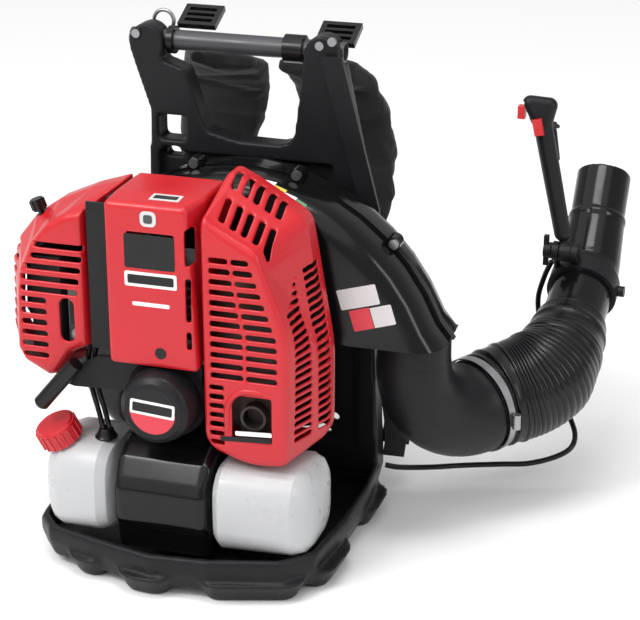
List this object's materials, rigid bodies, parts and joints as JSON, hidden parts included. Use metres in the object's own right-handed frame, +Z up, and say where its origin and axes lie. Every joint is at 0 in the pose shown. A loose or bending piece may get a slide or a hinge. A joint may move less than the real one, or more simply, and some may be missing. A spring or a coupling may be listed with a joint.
{
  "type": "backpack leaf blower",
  "caption": "Backpack leaf blower with a two-stroke engine under red louvred covers, a fan scroll, a jointed blowing duct and a throttle handle.",
  "frame": {"origin": "on the floor, straight below the crankshaft", "axes": "+X to the right seen from the engine side, towards the blowing duct; +Y from the engine to the wearer's back; +Z up"},
  "size_m": [0.5701, 0.6049, 0.517],
  "materials": {
    "red_shell": "moulded red plastic, glossy",
    "black_gloss": "moulded black plastic, glossy",
    "black_matte": "moulded dark grey plastic, fine grain",
    "tank_plastic": "milky translucent plastic",
    "bar_steel": "grey coated tube",
    "bright_steel": "plain steel",
    "cast_alloy": "cast alloy",
    "muffler_steel": "heat-stained sheet steel",
    "rubber_black": "black rubber",
    "pad_fabric": "woven black cover over foam",
    "web_fabric": "woven webbing",
    "filter_foam": "grey foam",
    "rope_fibre": "braided cord",
    "ceramic_white": "glazed white",
    "signal_red": "red buttons"
  },
  "bodies": {
    "frame": {"backframe": "black_matte", "carry_bar": "bar_steel", "bar_sleeves": "rubber_black", "bar_bolts": "bright_steel", "side_stay": "black_matte", "d_ring": "bright_steel", "strap_buckles": "black_gloss", "back_pad": "pad_fabric", "shoulder_pad_left": "pad_fabric", "shoulder_pad_right": "pad_fabric", "strap_webbing": "web_fabric", "av_mounts": "rubber_black", "fan_case_front": "black_gloss", "fan_case_rear": "black_gloss", "case_screws": "bright_steel", "intake_grille": "black_matte", "crankcase": "cast_alloy", "bearings": "bright_steel", "ignition_coil": "black_matte", "cylinder": "cast_alloy", "spark_plug": "ceramic_white", "plug_cap": "rubber_black", "engine_shroud": "black_matte", "muffler": "muffler_steel", "exhaust_outlet": "bright_steel", "carburettor": "cast_alloy", "air_filter": "filter_foam", "left_cover": "red_shell", "centre_cover": "red_shell", "right_cover": "red_shell", "cover_screws": "bright_steel", "starter_housing": "black_matte", "starter_rope": "rope_fibre", "fuel_tank": "tank_plastic", "tank_saddle": "black_gloss", "fuel_hoses": "rubber_black", "throttle_cable": "rubber_black"},
    "crank": {"crankshaft": "bright_steel", "flywheel": "cast_alloy", "impeller": "black_matte"},
    "piston_rod": {"piston": "cast_alloy", "connecting_rod": "bright_steel"},
    "starter_grip": {"starter_grip": "rubber_black"},
    "starter_pulley": {"starter_pulley": "ceramic_white"},
    "fuel_cap": {"fuel_cap": "red_shell"},
    "cover_knob": {"cover_knob": "black_gloss"},
    "choke_lever": {"choke_lever": "black_matte"},
    "purge_bulb": {"purge_bulb": "tank_plastic"},
    "elbow": {"elbow": "black_matte", "duct_clamps": "bright_steel", "bellows_lower": "rubber_black"},
    "flex_middle": {"bellows_middle": "rubber_black"},
    "pipe": {"bellows_upper": "rubber_black", "blow_pipe": "black_gloss", "handle_clamp": "black_matte"},
    "clamp_knob": {"clamp_knob": "black_matte"},
    "control_handle": {"control_handle": "black_matte"},
    "throttle_trigger": {"throttle_trigger": "black_matte"},
    "stop_slider": {"stop_slider": "signal_red"},
    "stop_button": {"stop_button": "signal_red"}
  },
  "joints": [
    {"name": "crank_spin", "type": "hinge", "parent": "frame", "child": "crank", "pos_m": [0, 0, 0.188], "axis": [0, 1, 0], "continuous": true},
    {"name": "piston_stroke", "type": "slide", "parent": "frame", "child": "piston_rod", "axis": [0, 0, -1], "range_m": [0, 0.034]},
    {"name": "starter_pull", "type": "slide", "parent": "frame", "child": "starter_grip", "axis": [0, -1, 0], "range_m": [0, 0.5], "stiffness_N_per_m": 20, "deforming": ["starter_rope"]},
    {"name": "starter_pulley_turn", "type": "hinge", "parent": "frame", "child": "starter_pulley", "pos_m": [0, -0.129, 0.188], "axis": [0, -1, 0], "range_deg": [0, 1045]},
    {"name": "fuel_cap_turn", "type": "hinge", "parent": "frame", "child": "fuel_cap", "pos_m": [-0.11305, -0.12105, 0.13914], "axis": [-0.3015, -0.3015, 0.9045], "range_deg": [0, 120]},
    {"name": "cover_knob_turn", "type": "hinge", "parent": "frame", "child": "cover_knob", "pos_m": [-0.15019, -0.0644, 0.35677], "axis": [-0.2996, -0.0999, 0.9488], "continuous": true},
    {"name": "choke_turn", "type": "hinge", "parent": "frame", "child": "choke_lever", "pos_m": [-0.097, -0.1, 0.27], "axis": [0, 1, 0], "range_deg": [0, 60]},
    {"name": "purge_press", "type": "slide", "parent": "frame", "child": "purge_bulb", "axis": [0, 1, 0], "range_m": [0, 0.004], "stiffness_N_per_m": 400},
    {"name": "duct_swivel", "type": "hinge", "parent": "frame", "child": "elbow", "pos_m": [0.212, 0.03, 0.21], "axis": [0, 0, 1], "range_deg": [-18, 12], "deforming": ["throttle_cable"]},
    {"name": "flex_yaw", "type": "hinge", "parent": "elbow", "child": "flex_middle", "pos_m": [0.30076, 0.14299, 0.13006], "axis": [0, 0, 1], "range_deg": [-12, 12], "deforming": ["bellows_lower", "bellows_middle", "throttle_cable"]},
    {"name": "flex_pitch", "type": "hinge", "parent": "flex_middle", "child": "pipe", "pos_m": [0.32306, 0.16487, 0.14188], "axis": [0.9995, -0.0322, 0], "range_deg": [-15, 18], "deforming": ["bellows_middle", "bellows_upper", "throttle_cable"]},
    {"name": "clamp_knob_turn", "type": "hinge", "parent": "pipe", "child": "clamp_knob", "pos_m": [0.31934, 0.27392, 0.24118], "axis": [0.9995, -0.0322, 0], "continuous": true},
    {"name": "handle_tilt", "type": "hinge", "parent": "pipe", "child": "control_handle", "pos_m": [0.31934, 0.27392, 0.24118], "axis": [0.9995, -0.0322, 0], "range_deg": [-15, 15]},
    {"name": "trigger_pull", "type": "hinge", "parent": "control_handle", "child": "throttle_trigger", "pos_m": [0.29516, 0.29516, 0.37754], "axis": [-0.9148, 0.4039, 0], "range_deg": [0, 14], "stiffness_Nm_per_rad": 0.2},
    {"name": "speed_slide", "type": "slide", "parent": "control_handle", "child": "stop_slider", "axis": [0.2211, -0.0201, -0.975], "range_m": [0, 0.006]},
    {"name": "stop_press", "type": "slide", "parent": "control_handle", "child": "stop_button", "axis": [1, 0, 0], "range_m": [0, 0.003], "stiffness_N_per_m": 300}
  ],
  "couplings": [
    {"joint": "starter_pulley_turn", "follows": "starter_pull", "rad_per_m": 36.36}
  ]
}
